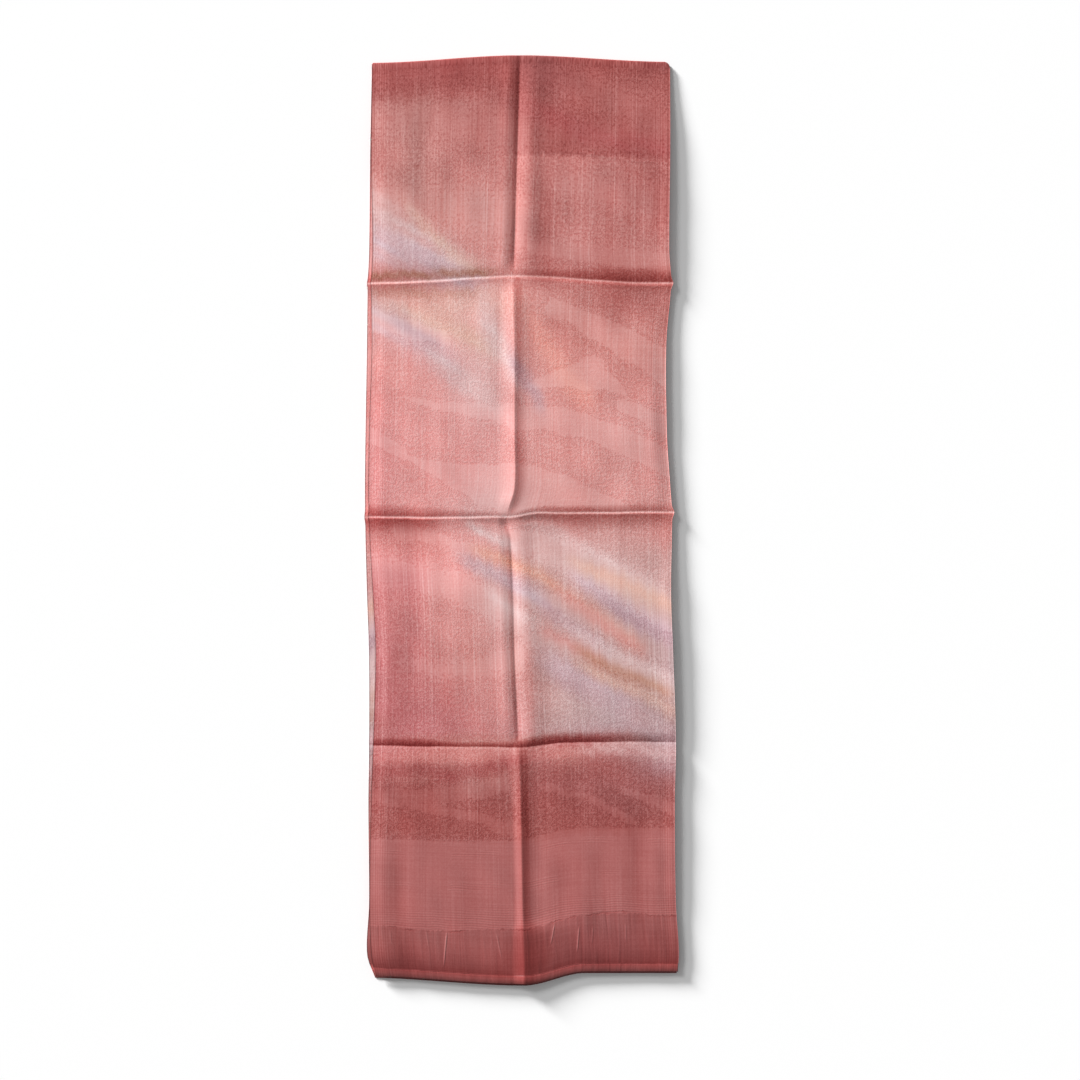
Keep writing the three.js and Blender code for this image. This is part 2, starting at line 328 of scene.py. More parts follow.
def first_creases(p, d, rows):
    """Height of the first two crosswise creases at d past them: a fall that steepens evenly, a
    short rise, a further fall that flattens evenly, and a long ease back."""
    before, reach, crest, run, after, wide = crease_columns(p, rows)
    fall = before * np.clip(1 + np.minimum(d, 0) / reach, 0, 1) ** 2 - crest * smooth((d + 1) / run)
    fall = fall + after * (1 - (1 - np.clip((d + 1.2 - run) / wide, 0, 1)) ** 2)
    return -fall * (1 - smooth((d - 12) / 75))


def last_crease(p, d, rows):
    """Height of the last crosswise crease at d past it: the same fall, then a rise to a low
    swell that eases away."""
    before, reach, crest, run, after, wide = crease_columns(p, rows)
    fall = before * np.clip(1 + np.minimum(d, 0) / reach, 0, 1) ** 2
    rise = (before + after) * (1 - (1 - np.clip(d / wide, 0, 1)) ** 1.45)
    return rise - fall + crest * smooth((d + 1) / run) * (1 - smooth(d / 40)) - after * smooth((d - 14) / 46)


def spine(d, q):
    """Height of the lengthwise crease at d from it: on the left of a ridge a tent raised to the
    power 1.5, elsewhere exponential slopes; a soft edge; and a round swell on each side."""
    height = along_table(SPINE, "height", q)
    left = along_table(SPINE, "left", q)
    right = along_table(SPINE, "right", q)
    off = np.hypot(d, 0.7) - 0.7
    tent = np.clip(1 - off / left, 0, 1) ** 1.5
    slope_left = lerp(np.exp(-off / left), tent, smooth((height + 0.4) / 0.8))
    shape = np.where(d < 0, slope_left, np.exp(-off / right))
    shoulder = along_table(SPINE, "shoulder", q) * bell(d - along_table(SPINE, "middle", q), 9.5)
    return height * shape + shoulder + along_table(SPINE, "roll", q) * bell(d + 11, 6)


def soft_folds(u, v):
    """Heights of the soft troughs and ridges: products of two round humps each."""
    total = np.zeros(np.broadcast(u, v).shape)
    rows = LENGTHWISE_FOLDS
    for c, a, wide, long, height, slant in zip(*rows.values()):
        total += height * bell(u - c - slant * (v - a), wide) * bell(v - a, long)
    rows = CROSSWISE_FOLDS
    for c, a, wide, long, height, slant in zip(*rows.values()):
        wander = 2.2 * np.sin((u - c) / 23.0)
        total += height * bell(u - c, wide) * bell(v - a - slant * (u - c) - wander, long)
    return total


def lift(p, q):
    """Lift of the front leaf: its rise, with a half sine of billow on each side; the creases, soft
    folds and ripples; its turned-up side edges; and less of it all towards those edges."""
    u, v = p * HALF, q * PANEL
    billow = by_side(BILLOWS, p, q) * (0.45 + 0.55 * np.sin(math.pi * np.abs(p)))
    height = along_table(BILLOWS, "rise", q) + billow
    height = height + spine(u, q)
    for at, rows in zip(CREASE_AT, CREASE_SHAPES):
        height = height + (last_crease if at == 3 else first_creases)(p, past_crease(u, v, at), rows)
    height = height + soft_folds(u, v)
    height = height + 0.09 * waves(u, v, 5, 9, 46, 300) + 0.07 * waves(u, v, 9, 9, 120, 70)
    height = height + 0.014 * waves(u, v, 6, 8, 14, 90)
    inside = (1 - np.abs(p)) * HALF
    turned_up = by_side(BILLOWS, p, q, "left_edge", "right_edge")
    flutter = 0.25 * np.sin(v / 31.0 + 2 * p) * np.sin(v / 13.0)
    height = height + (turned_up + flutter) * bell(inside, 8.5)
    return np.maximum(height * (0.86 + 0.14 * smooth(inside / EDGE_STRIP)), 0.1)


def back_rise(p, q):
    """Rise of the back leaf off the table: none, but for a share of the lift near each crease."""
    u, v = p * HALF, q * PANEL
    cross = np.max([bell(v - at * PANEL, 9) for at in CREASE_AT], axis=0)
    spine_near = bell(u, 9) * np.sin(math.pi * (q % 1)) ** 2
    share = 0.4 * np.maximum(cross, spine_near)
    rise = share * np.maximum(lift(p, q) - 0.35, 0)
    return np.where(rise < 0.01, 0.0, rise)


def front_top(p, q):
    """Height of the front leaf's upper face, over the back leaf and, at the end, over its hem."""
    over_hem = (HEM_WALL - SILK) * smooth((q - CLIMB_AT) / CLIMB_OVER)
    return 2 * SILK + LAY + lift(p, q) + over_hem


def front_hem_base(p, q):
    """Height of the front hem's underside, which stays clear of the back hem."""
    return front_top(p, q) - HEM_SINK


def back_hem_base(p, q):
    """Height of the back hem's underside: it lies on the table."""
    return 0 * p


# ---- dye and woven figure -------------------------------------------------------------------

DEPTH = 0.87                                # light that comes back off the dyed silk

# Dye baths, as screen colour values
DYES = {
    "wine": (0.59, 0.33, 0.33),
    "garnet": (0.655, 0.33, 0.315),
    "madder": (0.685, 0.38, 0.37),
    "old rose": (0.73, 0.44, 0.42),
    "rose": (0.785, 0.48, 0.46),
    "coral": (0.835, 0.54, 0.515),
    "salmon": (0.89, 0.61, 0.59),
    "pink": (0.925, 0.625, 0.61),
    "deep pink": (0.84, 0.52, 0.52),
    "shell": (0.805, 0.625, 0.61),
    "fawn": (0.75, 0.51, 0.48),
    "oyster": (0.905, 0.775, 0.77),
    "lavender": (0.825, 0.70, 0.73),
    "mauve": (0.75, 0.60, 0.63),
    "cream": (0.90, 0.73, 0.67),
    "apricot": (0.90, 0.655, 0.58),
    "peach": (0.93, 0.63, 0.585),
    "ochre": (0.74, 0.51, 0.43),
    "umber": (0.65, 0.45, 0.43),
    "crimson": (0.65, 0.285, 0.285),
    "peony": (0.785, 0.455, 0.46),
    "azalea": (0.725, 0.405, 0.415),
    "dove": (0.70, 0.60, 0.615),
    "claret": (0.57, 0.22, 0.21),
}

# The ground, from the fold to the open end: distance along, and the dye on the left and right
GROUND = (
    (24, "garnet", "garnet"),
    (46, "old rose", "garnet"),
    (99, "rose", "garnet"),
    (104, "rose", "rose"),
    (160, "coral", "rose"),
    (222, "salmon", "rose"),
    (290, "salmon", "coral"),
    (360, "pink", "salmon"),
    (440, "pink", "salmon"),
    (500, "pink", "shell"),
    (560, "salmon", "shell"),
    (600, "coral", "shell"),
    (650, "peony", "shell"),
    (664, "peony", "shell"),
    (674, "rose", "fawn"),
    (692, "rose", "madder"),
    (706, "old rose", "madder"),
    (722, "garnet", "madder"),
    (738, "garnet", "garnet"),
    (763, "garnet", "garnet"),
    (772, "madder", "madder"),
)

# Soft washes over the ground, some of them painted shade or light as marked: dye, place, half
# lengths across and along, and strength
WASHES = (
    ("fawn", -104, 115, 34, 62, 0.35),
    # Partly painted shade of the soft trough beside it, partly a greyer band of dye.
    ("umber", -99, 88, 13, 66, 0.42),
    ("old rose", -44, 100, 10, 50, 0.35),
    ("crimson", -60, 12, 90, 16, 0.50),
    # Painted shade on the rounded right corner of the fold.
    ("wine", 146, 2, 20, 9, 0.50),
    ("claret", -14, 25, 98, 14, 0.70),
    ("wine", 22, 12, 22, 32, 0.55),
    ("garnet", -22, 42, 42, 36, 0.60),
    ("garnet", 154, 122, 46, 30, 0.85),
    ("salmon", -26, 175, 28, 55, 0.50),
    ("garnet", 30, 182, 12, 60, 0.45),
    ("garnet", 150, 156, 22, 34, 0.65),
    ("garnet", 112, 243, 52, 22, 0.50),
    ("garnet", 151, 268, 5, 50, 0.25),
    # Painted light that offsets the shade where the right edge dips.
    ("pink", 143, 372, 15, 62, 0.60),
    ("cream", -60, 252, 80, 16, 0.60),
    ("salmon", 24, 252, 30, 16, 0.60),
    ("old rose", 96, 28, 46, 20, 0.40),
    ("oyster", -36, 310, 40, 60, 0.55),
    ("deep pink", -150, 400, 34, 90, 0.60),
    ("rose", 150, 474, 28, 16, 0.70),
    ("oyster", -28, 446, 44, 26, 0.45),
    ("shell", -18, 520, 24, 60, 0.60),
    ("rose", -122, 474, 52, 16, 0.70),
    ("peony", -92, 612, 44, 62, 0.40),
    ("peony", -142, 598, 34, 98, 0.80),
    ("peony", -122, 516, 34, 20, 0.60),
    ("azalea", -152, 612, 26, 80, 0.55),
    ("azalea", -106, 560, 14, 70, 0.35),
    # Painted shade just past the second crease.
    ("crimson", -116, 461, 40, 6, 0.10),
    # Painted shade along the third crease.
    ("crimson", -100, 676, 34, 5, 0.40),
    # Partly paler dye, partly painted light on the roll left of the lengthwise crease.
    ("oyster", -15, 588, 13, 84, 0.28),
    ("salmon", -34, 640, 34, 60, 0.55),
    ("rose", 14, 622, 10, 46, 0.45),
    ("oyster", 60, 652, 50, 26, 0.10),
    ("fawn", 152, 655, 26, 50, 0.55),
    ("dove", 156, 622, 26, 60, 0.85),
    ("pink", -18, 610, 14, 60, 0.50),
    ("pink", -70, 590, 16, 36, 0.35),
    # Greyer before the third crease, as painted shade.
    ("mauve", 96, 667, 60, 12, 0.60),
    ("dove", 144, 664, 40, 24, 1.00),
    ("dove", 88, 650, 34, 16, 0.65),
    # Painted shade along the third crease.
    ("crimson", 50, 677, 42, 6, 0.75),
    ("mauve", 142, 702, 28, 15, 0.62),
    ("coral", 44, 692, 20, 12, 0.60),
    ("garnet", -14, 700, 16, 12, 0.45),
    ("garnet", -146, 660, 20, 10, 0.45),
    ("wine", -120, 893, 52, 16, 0.50),
    ("wine", 74, 884, 62, 34, 0.45),
    ("wine", 104, 738, 60, 22, 0.45),
    ("garnet", -150, 880, 22, 40, 0.30),
    ("wine", 152, 835, 5, 90, 0.50),
)

# Washes of the back leaf alone, of which a strip shows at the left
BACK_WASHES = (
    ("pink", 150, 250, 34, 330, 0.90),
    ("oyster", 150, 632, 34, 82, 0.90),
    ("coral", 150, 790, 34, 60, 0.70),
)

# Thick places in the weave: place, size and strength
SLUBS = (
    (20, 493, 3.6, 0.40),
    (-131, 58, 3.0, 0.30),
    (84, 341, 3.0, 0.30),
    (80, 493, 2.0, 0.30),
    (116, 98, 3.2, 0.25),
    (-66, 38, 3.0, 0.25),
    (-101, 109, 2.0, 0.35),
    (61, 424, 2.0, 0.30),
)

# Sharp small wrinkles in the dark border, lighter along their lines as a painted highlight: place,
# slant across per along, half length, and strength
WRINKLES = (
    (-76, 874, -0.14, 19, 1.0),
    (28, 862, -0.25, 10, 0.7),
    (52, 872, -0.13, 14, 0.9),
    (66, 868, -0.10, 9, 0.4),
    (-93, 864, 0.10, 9, 0.4),
    (-24, 868, 0.16, 14, 0.5),
    (98, 866, -0.08, 10, 0.35),
    (-128, 866, 0.05, 8, 0.3),
)

# Brushed bands of dye, of which the last two are painted shade: colour, start, middle and end of
# the centre line, half width at its two ends, and strength
BANDS = (
    ("crimson", (-30, 36), (70, 78), (200, 90), 14, 11, 0.60),
    ("oyster", (-175, 128), (-104, 186), (-20, 232), 34, 12, 0.66),
    ("lavender", (-175, 168), (-98, 206), (-16, 236), 25, 10, 0.82),
    ("cream", (-124, 132), (-80, 188), (-22, 220), 10, 8, 0.55),
    ("ochre", (-175, 216), (-112, 221), (-70, 224), 5, 3, 0.65),
    ("ochre", (-92, 217), (-50, 221), (-10, 224), 5, 4, 0.65),
    ("ochre", (-175, 233), (-104, 238), (-14, 242), 6, 4, 0.35),
    ("cream", (-175, 240), (-78, 270), (4, 302), 10, 14, 0.70),
    ("lavender", (-178, 248), (-106, 279), (-40, 330), 22, 17, 0.62),
    ("mauve", (-134, 256), (-100, 275), (-70, 292), 12, 9, 0.45),
    ("oyster", (-100, 290), (-54, 324), (-6, 354), 10, 16, 0.55),
    ("oyster", (-40, 256), (-6, 305), (12, 350), 22, 16, 0.75),
    ("mauve", (-10, 292), (12, 328), (36, 356), 16, 10, 0.65),
    ("peach", (2, 256), (40, 311), (92, 349), 20, 14, 0.80),
    ("oyster", (-50, 456), (-16, 473), (14, 490), 6, 7, 0.80),
    ("apricot", (-52, 479), (3, 502), (62, 545), 7, 8, 0.70),
    ("apricot", (36, 526), (80, 556), (128, 592), 8, 9, 0.50),
    ("coral", (26, 524), (76, 557), (132, 598), 8, 9, 0.62),
    ("lavender", (-66, 489), (-2, 518), (42, 552), 7, 10, 0.75),
    ("mauve", (8, 528), (44, 558), (100, 594), 8, 9, 0.65),
    ("oyster", (-34, 519), (2, 548), (36, 572), 8, 9, 0.50),
    ("oyster", (0, 452), (62, 486), (165, 550), 11, 12, 0.52),
    ("cream", (38, 496), (96, 522), (168, 556), 8, 12, 0.60),
    ("apricot", (44, 496), (100, 521), (176, 560), 7, 10, 0.45),
    ("lavender", (40, 506), (96, 543), (168, 590), 8, 12, 0.85),
    ("mauve", (74, 532), (118, 562), (168, 596), 6, 12, 0.78),
    ("oyster", (34, 556), (86, 588), (168, 632), 8, 11, 0.60),
    ("coral", (8, 557), (50, 583), (102, 612), 7, 8, 0.60),
    ("lavender", (8, 580), (66, 622), (168, 676), 12, 13, 0.80),
    ("mauve", (10, 594), (66, 634), (168, 684), 9, 11, 0.55),
    ("cream", (46, 594), (100, 624), (176, 662), 6, 10, 0.65),
    ("ochre", (48, 582), (94, 608), (160, 636), 8, 9, 0.70),
    ("oyster", (20, 636), (80, 646), (168, 684), 16, 14, 0.30),
    ("oyster", (44, 684), (110, 689), (168, 694), 7, 9, 0.45),
    ("umber", (96, 650), (140, 655), (190, 660), 16, 16, 0.30),
    # Painted shade of the curved trough under the third crease.
    ("crimson", (-190, 722), (-122, 702), (-52, 714), 7, 7, 0.50),
    ("crimson", (-96, 714), (-46, 702), (14, 691), 7, 7, 0.50),
)

# How clearly the woven figure shows: distance along, and share
CLEARNESS = (
    (190, 0.05),
    (240, 1.0),
    (440, 1.0),
    (490, 0.16),
    (690, 0.16),
    (725, 0.45),
)

# Streams of the woven figure, smooth satin on crepe: start, middle and end of the centre line,
# and half width at its two ends
STREAMS = (
    ((-4, 10), (70, 33), (165, 80), 9, 24),
    ((-165, 10), (-80, 12), (4, 14), 14, 12),
    ((22, 84), (80, 78), (165, 80), 12, 18),
    ((40, 132), (90, 136), (165, 150), 12, 20),
    ((16, 196), (80, 200), (165, 206), 9, 11),
    ((-165, 58), (-70, 66), (4, 78), 12, 26),
    ((-165, 138), (-70, 150), (4, 170), 12, 30),
    ((36, 256), (95, 281), (165, 322), 8, 21),
    ((8, 333), (44, 324), (82, 318), 1, 17),
    ((80, 318), (95, 327), (112, 340), 16, 1),
    ((104, 349), (126, 357), (165, 380), 7, 11),
    ((-2, 361), (60, 368), (165, 418), 11, 14),
    ((-4, 427), (49, 433), (108, 450), 25, 3),
    ((-165, 258), (-110, 272), (-70, 284), 12, 6),
    ((-120, 338), (-60, 350), (2, 357), 1, 9),
    ((-165, 370), (-140, 378), (-112, 392), 10, 6),
    ((-108, 396), (-52, 417), (2, 427), 2, 25),
    ((-120, 466), (-80, 474), (-36, 488), 8, 5),
    ((-150, 506), (-70, 520), (2, 548), 13, 19),
    ((-120, 596), (-70, 604), (4, 590), 4, 14),
    ((0, 478), (60, 502), (165, 566), 13, 20),
    ((0, 530), (70, 556), (165, 606), 8, 12),
    ((12, 574), (80, 596), (165, 640), 8, 10),
    ((-165, 728), (-90, 728), (-14, 714), 7, 8),
    ((-112, 738), (-60, 744), (2, 762), 4, 6),
    ((20, 720), (60, 733), (108, 757), 3, 4),
    ((96, 728), (125, 736), (165, 752), 2, 9),
)


def band_top(u):
    """Where the plain satin end band starts, along the cut: a soft step back at the crease."""
    return 767 - 3.5 * np.tanh(u / 40)


def border_top(u):
    """Where the dark border starts, along the cut: the same kind of step, with a small sine."""
    return 852 - 4.0 * np.tanh(u / 50) + 1.2 * np.sin(u / 19)


def linear(colour):
    """Screen colour values as light: the standard curve, a power of 2.4 above a short foot."""
    c = np.asarray(colour, float)
    return np.where(c <= 0.04045, c / 12.92, ((c + 0.055) / 1.055) ** 2.4)


def painted_shade_highlight_and_slubs_at(u, v):
    """How much fuller the dye is made at the place, mostly as painted shade: up to 1 down in a crease,
    where light meets the silk more than once, some on the shaded side of the lengthwise crease, by
    the hem, in the troughs and near the fold, and more at the slubs, which are thick places in the
    weave; and below 0 on a crease's crest, as a painted highlight."""
    q, p = v / PANEL, u / HALF
    total = np.zeros(np.broadcast(u, v).shape)
    crest = np.zeros_like(total)
    for at, rows in zip(CREASE_AT, CREASE_SHAPES):
        d = past_crease(u, v, at)
        reach, wide, before, after = crease_columns(p, rows, "reach wide deep_before deep_after")
        side = np.where(d < 0, before * np.clip(1 + d / reach, 0, 1), after * bell(d, 0.65 * wide))
        total = np.maximum(total, side)
        # A painted highlight on each crease's crest.
        highlight, highlight_at = (1.0, 0.3) if at < 3 else (0.5, 1.5)
        crest = np.maximum(crest, highlight * bell(d - highlight_at, 1.3))
    # Painted shade along the lengthwise crease: left of a valley, right of a ridge.
    ridge = smooth((along_table(SPINE, "height", q) + 0.3) / 0.6)
    painted_shade_width = 4 + 14 * smooth((q - 3.72) / 0.1)
    total = np.maximum(total, lerp(0.5 * bell(u + 2.2, 2.6), 0.6 * bell(u - 4, painted_shade_width), ridge))
    # Painted shade where the front hem starts.
    total = np.maximum(total, 0.55 * np.exp(-np.abs(v - HEM_LINE) / 5))
    # Fuller near the fold, and painted shade in the soft troughs.
    total = np.maximum(total, 0.5 * np.exp(-np.abs(v) / 10)) + 0.4 * np.maximum(-soft_folds(u, v), 0)
    for c, a, size, strength in SLUBS:
        total = total + strength * bell(np.hypot(u - c, v - a), size)
    return lerp(total, -0.45, crest)


def painted_hem_light_and_shade(v):
    """A painted highlight where the front hem turns up, and painted shade further down it, as shares
    of its colour."""
    from_end = LENGTH - v
    painted_roll_shading = 0.10 * bell(from_end - 8.6, 1.4) - 0.28 * smooth((6.2 - from_end) / 2.2)
    return np.where(from_end < FRONT_SHORT + HEM_WIDTH, painted_roll_shading, 0)


def dye_with_painted_shade_at(u, v, back=False):
    """Dye at cut point (u, v), with painted light and shade: the ground's mix, the washes, then each
    band laid over it with a round fade across its parabola and an ease at its ends; a painted
    highlight and shade at the hem; and raised to a power that paints shade into the creases and a
    highlight on their crests."""
    wide_u = u + 2.0 * waves(u, v, 21, 6, 150, 150)
    wide_v = v + 2.0 * waves(u, v, 22, 6, 130, 170) + 1.3 * waves(u, v, 23, 8, 12, 120)
    brush = waves(u + 0.6 * v, v - 0.6 * u, 24, 8, 200, 15)
    at = np.array([row[0] for row in GROUND], float)
    halves = []
    for column in (1, 2):
        colours = np.array([DYES[row[column]] for row in GROUND])
        halves.append(np.stack([np.interp(wide_v, at, c) for c in colours.T], -1))
    colour = lerp(halves[0], halves[1], smooth((wide_u + 40) / 80)[..., None])
    for name, c, a, wide, long, strength in WASHES + (BACK_WASHES if back else ()):
        cover = strength * bell(wide_u - c, wide) * bell(wide_v - a, long)
        colour = lerp(colour, np.array(DYES[name]), cover[..., None])
    for name, start, middle, end, wide0, wide1, strength in BANDS:
        centre, t = centre_line(wide_u, start, middle, end)
        away = (wide_v - centre) / lerp(wide0, wide1, np.clip(t, 0, 1))
        cover = strength * np.exp(-np.abs(away) ** 2.2) * smooth(t / 0.25) * smooth((1 - t) / 0.25)
        cover = np.clip(cover * (1 + 0.16 * brush), 0, 1)
        colour = lerp(colour, np.array(DYES[name]), cover[..., None])
    colour = linear(colour) * (1 + 0.035 * waves(u, v, 25, 9, 70, 60))[..., None]
    # Painted highlight and shade on the turned-up hem.
    colour = colour * (1 + painted_hem_light_and_shade(v))[..., None]
    # Painted shade in the creases, troughs and by the hem, and a painted highlight on the crests.
    return DEPTH * colour ** (1 + 0.6 * painted_shade_highlight_and_slubs_at(u, v))[..., None]


def centre_line(u, start, middle, end):
    """The parabola through three places, as v over u, with the share of the way along."""
    t = (u - start[0]) / (end[0] - start[0])
    tm = (middle[0] - start[0]) / (end[0] - start[0])
    sag = (middle[1] - lerp(start[1], end[1], tm)) / (tm * (1 - tm))
    return lerp(start[1], end[1], t) + sag * t * (1 - t), t


def satin_at(u, v):
    """Woven figure at (u, v): how far inside the nearest stream or the end band the place is,
    in millimetres, negative outside."""
    wide_u = u + 1.2 * waves(u, v, 31, 5, 60, 60)
    wide_v = v + 1.2 * waves(u, v, 32, 6, 40, 60)
    inside = np.full(np.broadcast(u, v).shape, -FIGURE_REACH)
    for start, middle, end, half0, half1 in STREAMS:
        centre, t = centre_line(wide_u, start, middle, end)
        half = lerp(half0, half1, np.clip(t, 0, 1))
        past = np.maximum(np.maximum(-t, t - 1), 0) * (end[0] - start[0])
        inside = np.maximum(inside, half - np.hypot(wide_v - centre, 2 * past))
    inside = inside * np.interp(v, *np.transpose(CLEARNESS))
    return np.clip(np.maximum(inside, v - band_top(u)), -FIGURE_REACH, FIGURE_REACH)


def border_at(u, v):
    """How far past the top edge of the dark border the place is, in millimetres."""
    return np.clip(v - border_top(u), *BORDER_REACH)


# ---- meshes ---------------------------------------------------------------------------------


def stations(start, stop, centres, fine, coarse, near, far, samples=20001):
    """Places from start to stop, an even number of steps, spaced fine within near of a centre
    and coarse past far: even steps of the running sum of one over the spacing."""
    dense = np.linspace(start, stop, samples)
    off = np.min([np.abs(dense - c) for c in centres], axis=0)
    spacing = lerp(fine, coarse, smooth((off - near) / (far - near)))
    count = np.concatenate([[0], np.cumsum(np.diff(dense) / ((spacing[1:] + spacing[:-1]) / 2))])
    steps = 2 * int(math.ceil(count[-1] / 2))
    return np.interp(np.linspace(0, count[-1], steps + 1), count, dense)


def grid_quads(rows, columns, first):
    """Corner numbers of a grid's quads, in order round each."""
    i, j = np.meshgrid(np.arange(rows - 1), np.arange(columns - 1), indexing="ij")
    a = first + i * columns + j
    return np.stack([a, a + columns, a + columns + 1, a + 1], -1).reshape(-1, 4)


def strip_quads(outer, inner):
    """Quads between two rows of vertex numbers."""
    return np.stack([outer[:-1], inner[:-1], inner[1:], outer[1:]], -1)


# Boxes on the bake sheet, from one corner to the other
UPPER_ISLAND = (0.01, 0.01, 0.32, 0.99)
LOWER_ISLAND = (0.34, 0.01, 0.65, 0.99)
RIM_ISLANDS = (
    (0.67, 0.01, 0.68, 0.99),
    (0.70, 0.01, 0.71, 0.99),
    (0.73, 0.01, 0.98, 0.02),
    (0.73, 0.04, 0.98, 0.05),
)


def island(box, across, along):
    """Bake coordinates in a box, from two arrays that run 0 to 1."""
    return np.stack([lerp(box[0], box[2], across), lerp(box[1], box[3], along)], -1)


def cloth_attributes(u, v, turned, figured):
    """What the silk reads at each point: its cut place in metres, its dye with painted shade and
    highlights, its depth inside the satin, and its distance past the border's edge. A turned cloth
    is dyed mirrored."""
    across = -u if turned else u
    dye = np.concatenate([dye_with_painted_shade_at(across, v, turned), np.ones((len(u), 1))], -1)
    satin = satin_at(across, v) if figured else np.full(len(u), FIGURE_REACH)
    border = border_at(across, v) if figured else np.full(len(u), HEM_BORDER)
    return {
        "cut": ("FLOAT_VECTOR", "vector", np.stack([u * MM, v * MM, 0 * u], -1)),
        # The dye has painted shade and highlights worked into it.
        "dye": ("FLOAT_COLOR", "color", dye),
        "satin": ("FLOAT", "value", satin),
        "border": ("FLOAT", "value", border),
    }


def new_mesh_object(name, points, faces, uvs, u, v, turned, figured=True):
    """A mesh object from points, arrays of faces with their bake coordinates, and the cut
    coordinates of the points, from which their dye with its painted shade, and their figure, follow."""
    mesh = bpy.data.meshes.new(name)
    corners = np.concatenate([array.ravel() for array in faces])
    sizes = np.concatenate([np.full(len(array), array.shape[1]) for array in faces])
    starts = np.concatenate([[0], np.cumsum(sizes)[:-1]])
    mesh.vertices.add(len(points))
    mesh.vertices.foreach_set("co", (points * MM).astype(np.float32).ravel())
    mesh.loops.add(len(corners))
    mesh.loops.foreach_set("vertex_index", corners.astype(np.int32))
    mesh.polygons.add(len(sizes))
    mesh.polygons.foreach_set("loop_start", starts.astype(np.int32))
    mesh.polygons.foreach_set("use_smooth", np.ones(len(sizes), bool))
    mesh.update(calc_edges=True)
    layer = mesh.uv_layers.new(name="OFBake")
    places = np.concatenate([uv.reshape(-1, 2) for uv in uvs])
    layer.data.foreach_set("uv", places.astype(np.float32).ravel())
    for key, (kind, field, values) in cloth_attributes(u, v, turned, figured).items():
        attribute = mesh.attributes.new(key, kind, "POINT")
        attribute.data.foreach_set(field, values.astype(np.float32).ravel())
    mesh.validate()
    piece = bpy.data.objects.new(name, mesh)
    bpy.context.scene.collection.objects.link(piece)
    return piece


def shell(name, outer, inner, u, v, turned=False):
    """A closed wall of cloth between two grids of points, with its cut coordinates, dye with painted
    shade, and figure on each point. The inner side keeps every second row and column, both counts of
    steps are even, and the rims are five-sided faces. turned says that the cloth lies face down, as in
    the back leaf."""
    rows, columns = u.shape
    count = rows * columns
    number = np.arange(count).reshape(rows, columns)
    inner, inner_u, inner_v = inner[::2, ::2], u[::2, ::2], v[::2, ::2]
    inner_rows, inner_columns = inner_u.shape
    inner_number = count + np.arange(inner_rows * inner_columns).reshape(inner_rows, inner_columns)
    top = grid_quads(rows, columns, 0)
    low = grid_quads(inner_rows, inner_columns, count)[:, ::-1]
    rims = []
    for fine, coarse, flip in (
        (number[:, 0], inner_number[:, 0], True),
        (number[:, -1], inner_number[:, -1], False),
        (number[0, :], inner_number[0, :], False),
        (number[-1, :], inner_number[-1, :], True),
    ):
        faces = np.stack([fine[:-2:2], coarse[:-1], coarse[1:], fine[2::2], fine[1:-1:2]], -1)
        rims.append(faces[:, ::-1] if flip else faces)
    across = np.concatenate([((w - u.min()) / (u.max() - u.min())).ravel() for w in (u, inner_u)])
    step = np.hypot(*(np.diff(outer[:, columns // 2, axis]) for axis in (1, 2)))
    run = np.concatenate([[0], np.cumsum(step)]) / step.sum()
    along = np.concatenate([np.repeat(run, columns), np.repeat(run[::2], inner_columns)])
    uvs = [
        island(UPPER_ISLAND, across[top], along[top]),
        island(LOWER_ISLAND, across[low], along[low]),
    ]
    for rim, box in zip(rims, RIM_ISLANDS):
        deep = (rim >= count).astype(float)
        upright = box[3] - box[1] > box[2] - box[0]
        uvs.append(island(box, deep, along[rim]) if upright else island(box, across[rim], deep))
    all_u = np.concatenate([u.ravel(), inner_u.ravel()])
    all_v = np.concatenate([v.ravel(), inner_v.ravel()])
    points = np.concatenate([outer.reshape(-1, 3), inner.reshape(-1, 3)])
    return new_mesh_object(name, points, [top, low, *rims], uvs, all_u, all_v, turned)


def below(points, wall):
    """Points moved straight down so that the wall, square to the cloth, has its thickness."""
    du = np.gradient(points, axis=1)
    dv = np.gradient(points, axis=0)
    normal = np.cross(dv, du)
    upright = np.abs(normal[..., 2]) / np.linalg.norm(normal, axis=-1)
    moved = points.copy()
    moved[..., 2] -= wall / np.clip(upright, 0.6, 1)
    return moved


SEAM = 0.1                                  # gap between a leaf and its hem
BEND_SEAM = 0.05                            # gap between the back leaf and the bend
DYE_STEP = 102                              # where the ground on the right changes at once
FRONT_STOP = HEM_LINE - SEAM
CREASES = tuple(at * PANEL for at in CREASE_AT)
EDGES = (-HALF, 0, HALF)
ACROSS = stations(-HALF, HALF, EDGES, 0.7, 2.4, 4, 16) / HALF
ALONG = stations(BEND, FRONT_STOP, (DYE_STEP, *CREASES, FRONT_STOP), 0.5, 3.0, 4, 24) / PANEL
BACK_ACROSS = stations(-HALF, HALF, EDGES, 0.8, 4.5, 3, 22) / HALF
BACK_ALONG = stations(BEND + BEND_SEAM, LENGTH - HEM_WIDTH - SEAM, CREASES, 1.2, 6.0, 7, 30) / PANEL
BEND_STEPS = 13


